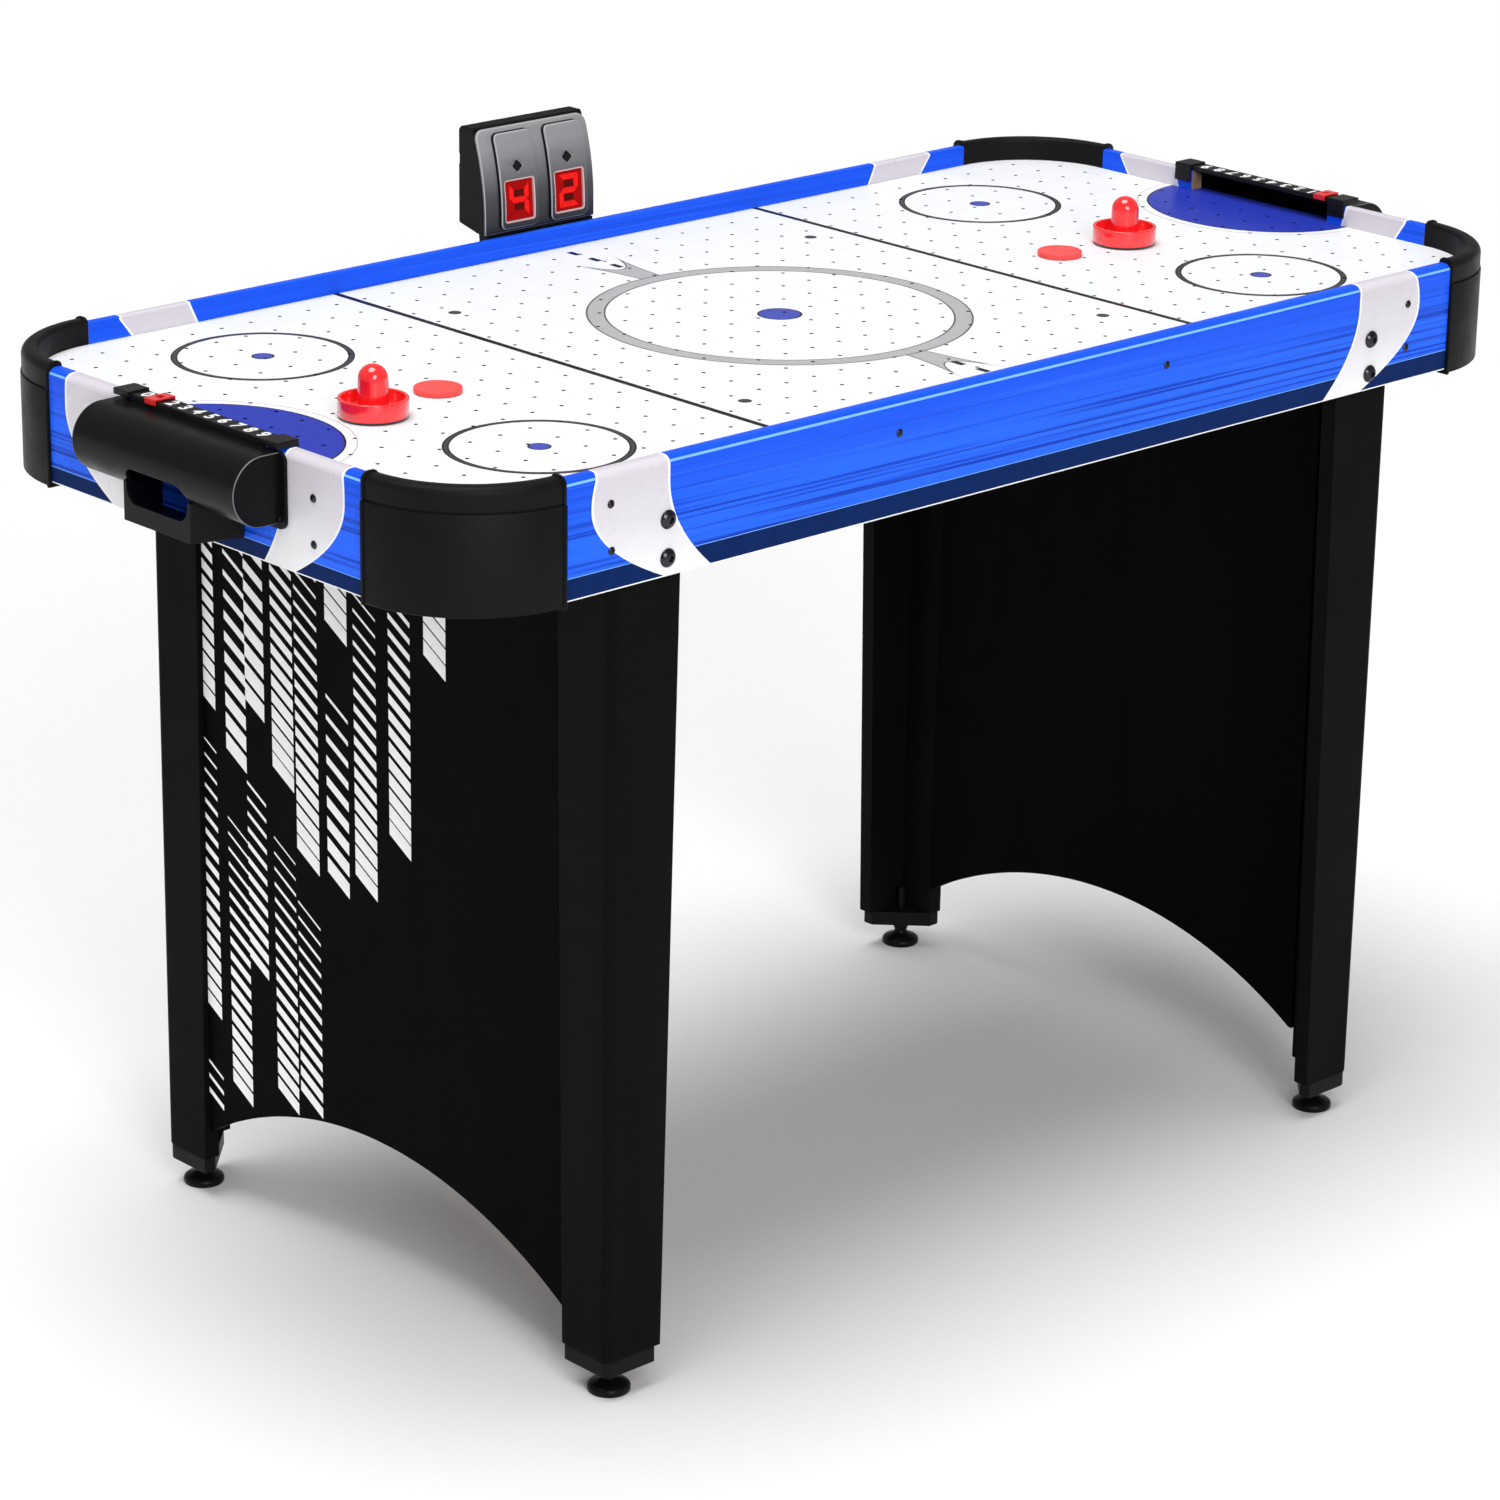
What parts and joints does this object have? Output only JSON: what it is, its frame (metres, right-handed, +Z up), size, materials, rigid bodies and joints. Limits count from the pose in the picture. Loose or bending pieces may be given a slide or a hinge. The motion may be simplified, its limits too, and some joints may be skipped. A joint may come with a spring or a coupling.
{
  "type": "air hockey table",
  "caption": "Air hockey table with printed blue rails, black corner caps, goal boxes, sliding score markers, a score unit, panelled legs on levelling feet, strikers and pucks.",
  "frame": {"origin": "on the floor, under the middle of the whole object", "axes": "+X along the table, +Y from the player's long side towards the score unit, +Z up"},
  "size_m": [1.3126, 0.641, 0.869],
  "materials": {
    "white_laminate": "smooth white laminate",
    "blue_laminate": "smooth printed laminate",
    "black_laminate": "satin laminate",
    "raw_board": "raw fibreboard",
    "black_plastic": "moulded plastic",
    "grey_plastic": "moulded plastic",
    "red_plastic": "glossy moulded plastic",
    "red_window": "tinted display window",
    "black_felt": "felt",
    "black_steel": "black oxide",
    "bright_steel": "bare",
    "green_board": "circuit board"
  },
  "bodies": {
    "table": {"playfield": "white_laminate", "chamber_frame": "raw_board", "chamber_board": "raw_board", "side_rail_front": "blue_laminate", "side_rail_back": "blue_laminate", "end_rail_left": "blue_laminate", "end_rail_right": "blue_laminate", "corner_cap_front_left": "black_plastic", "corner_cap_front_right": "black_plastic", "corner_cap_back_left": "black_plastic", "corner_cap_back_right": "black_plastic", "goal_box_left": "black_plastic", "goal_box_right": "black_plastic", "score_bar_left": "black_plastic", "score_bar_right": "black_plastic", "leg_front_left": "black_laminate", "leg_front_right": "black_laminate", "leg_back_left": "black_laminate", "leg_back_right": "black_laminate", "foot_bracket_front_left": "black_plastic", "foot_bracket_front_right": "black_plastic", "foot_bracket_back_left": "black_plastic", "foot_bracket_back_right": "black_plastic", "end_panel_left": "black_laminate", "end_panel_right": "black_laminate", "leg_bolt_front_left_lower": "black_steel", "leg_bolt_front_left_upper": "black_steel", "leg_bolt_front_right_lower": "black_steel", "leg_bolt_front_right_upper": "black_steel", "leg_bolt_back_left_lower": "black_steel", "leg_bolt_back_left_upper": "black_steel", "leg_bolt_back_right_lower": "black_steel", "leg_bolt_back_right_upper": "black_steel", "blower_housing": "black_plastic", "blower_grille": "black_plastic", "blower_motor": "bright_steel", "power_socket": "black_plastic", "scoreboard_case": "black_plastic", "scoreboard_face": "grey_plastic", "display_home": "red_window", "display_visitor": "red_window", "scoreboard_circuit": "green_board"},
    "slider_left": {"score_slider_left": "red_plastic"},
    "slider_right": {"score_slider_right": "red_plastic"},
    "foot_front_left": {"leveling_foot_front_left": "black_plastic"},
    "foot_front_right": {"leveling_foot_front_right": "black_plastic"},
    "foot_back_left": {"leveling_foot_back_left": "black_plastic"},
    "foot_back_right": {"leveling_foot_back_right": "black_plastic"},
    "impeller": {"blower_impeller": "grey_plastic"},
    "button_home": {"score_button_home": "black_plastic"},
    "button_visitor": {"score_button_visitor": "black_plastic"},
    "cover": {"battery_cover": "black_plastic"},
    "striker_left": {"striker_left": "red_plastic", "striker_felt_left": "black_felt"},
    "striker_right": {"striker_right": "red_plastic", "striker_felt_right": "black_felt"},
    "puck_left": {"puck_left": "red_plastic"},
    "puck_right": {"puck_right": "red_plastic"}
  },
  "joints": [
    {"name": "score_slider_left_slide", "type": "slide", "parent": "table", "child": "slider_left", "axis": [0, 1, 0], "range_m": [-0.128, 0.016]},
    {"name": "score_slider_right_slide", "type": "slide", "parent": "table", "child": "slider_right", "axis": [0, 1, 0], "range_m": [0, 0.144]},
    {"name": "leveling_foot_front_left_turn", "type": "hinge", "parent": "table", "child": "foot_front_left", "pos_m": [-0.425, -0.2814, 0.022], "axis": [0, 0, 1], "continuous": true},
    {"name": "leveling_foot_front_right_turn", "type": "hinge", "parent": "table", "child": "foot_front_right", "pos_m": [0.425, -0.2814, 0.022], "axis": [0, 0, 1], "continuous": true},
    {"name": "leveling_foot_back_left_turn", "type": "hinge", "parent": "table", "child": "foot_back_left", "pos_m": [-0.425, 0.2476, 0.022], "axis": [0, 0, 1], "continuous": true},
    {"name": "leveling_foot_back_right_turn", "type": "hinge", "parent": "table", "child": "foot_back_right", "pos_m": [0.425, 0.2476, 0.022], "axis": [0, 0, 1], "continuous": true},
    {"name": "impeller_spin", "type": "hinge", "parent": "table", "child": "impeller", "pos_m": [0, -0.0169, 0.72], "axis": [0, 0, 1], "continuous": true},
    {"name": "score_button_home_press", "type": "slide", "parent": "table", "child": "button_home", "axis": [0, 1, 0], "range_m": [0, 0.001], "stiffness_N_per_m": 400},
    {"name": "score_button_visitor_press", "type": "slide", "parent": "table", "child": "button_visitor", "axis": [0, 1, 0], "range_m": [0, 0.001], "stiffness_N_per_m": 400},
    {"name": "battery_cover_slide", "type": "slide", "parent": "table", "child": "cover", "axis": [0, 0, -1], "range_m": [0, 0.04]},
    {"name": "striker_left_slide", "type": "slide", "parent": "table", "child": "striker_left", "axis": [0, 1, 0], "range_m": [-0.231, 0.285]},
    {"name": "striker_right_slide", "type": "slide", "parent": "table", "child": "striker_right", "axis": [0, 1, 0], "range_m": [-0.24, 0.276]},
    {"name": "puck_left_slide", "type": "slide", "parent": "table", "child": "puck_left", "axis": [1, 0, 0], "range_m": [-0.02, 0.3]},
    {"name": "puck_right_slide", "type": "slide", "parent": "table", "child": "puck_right", "axis": [1, 0, 0], "range_m": [-0.27, 0.02]}
  ]
}
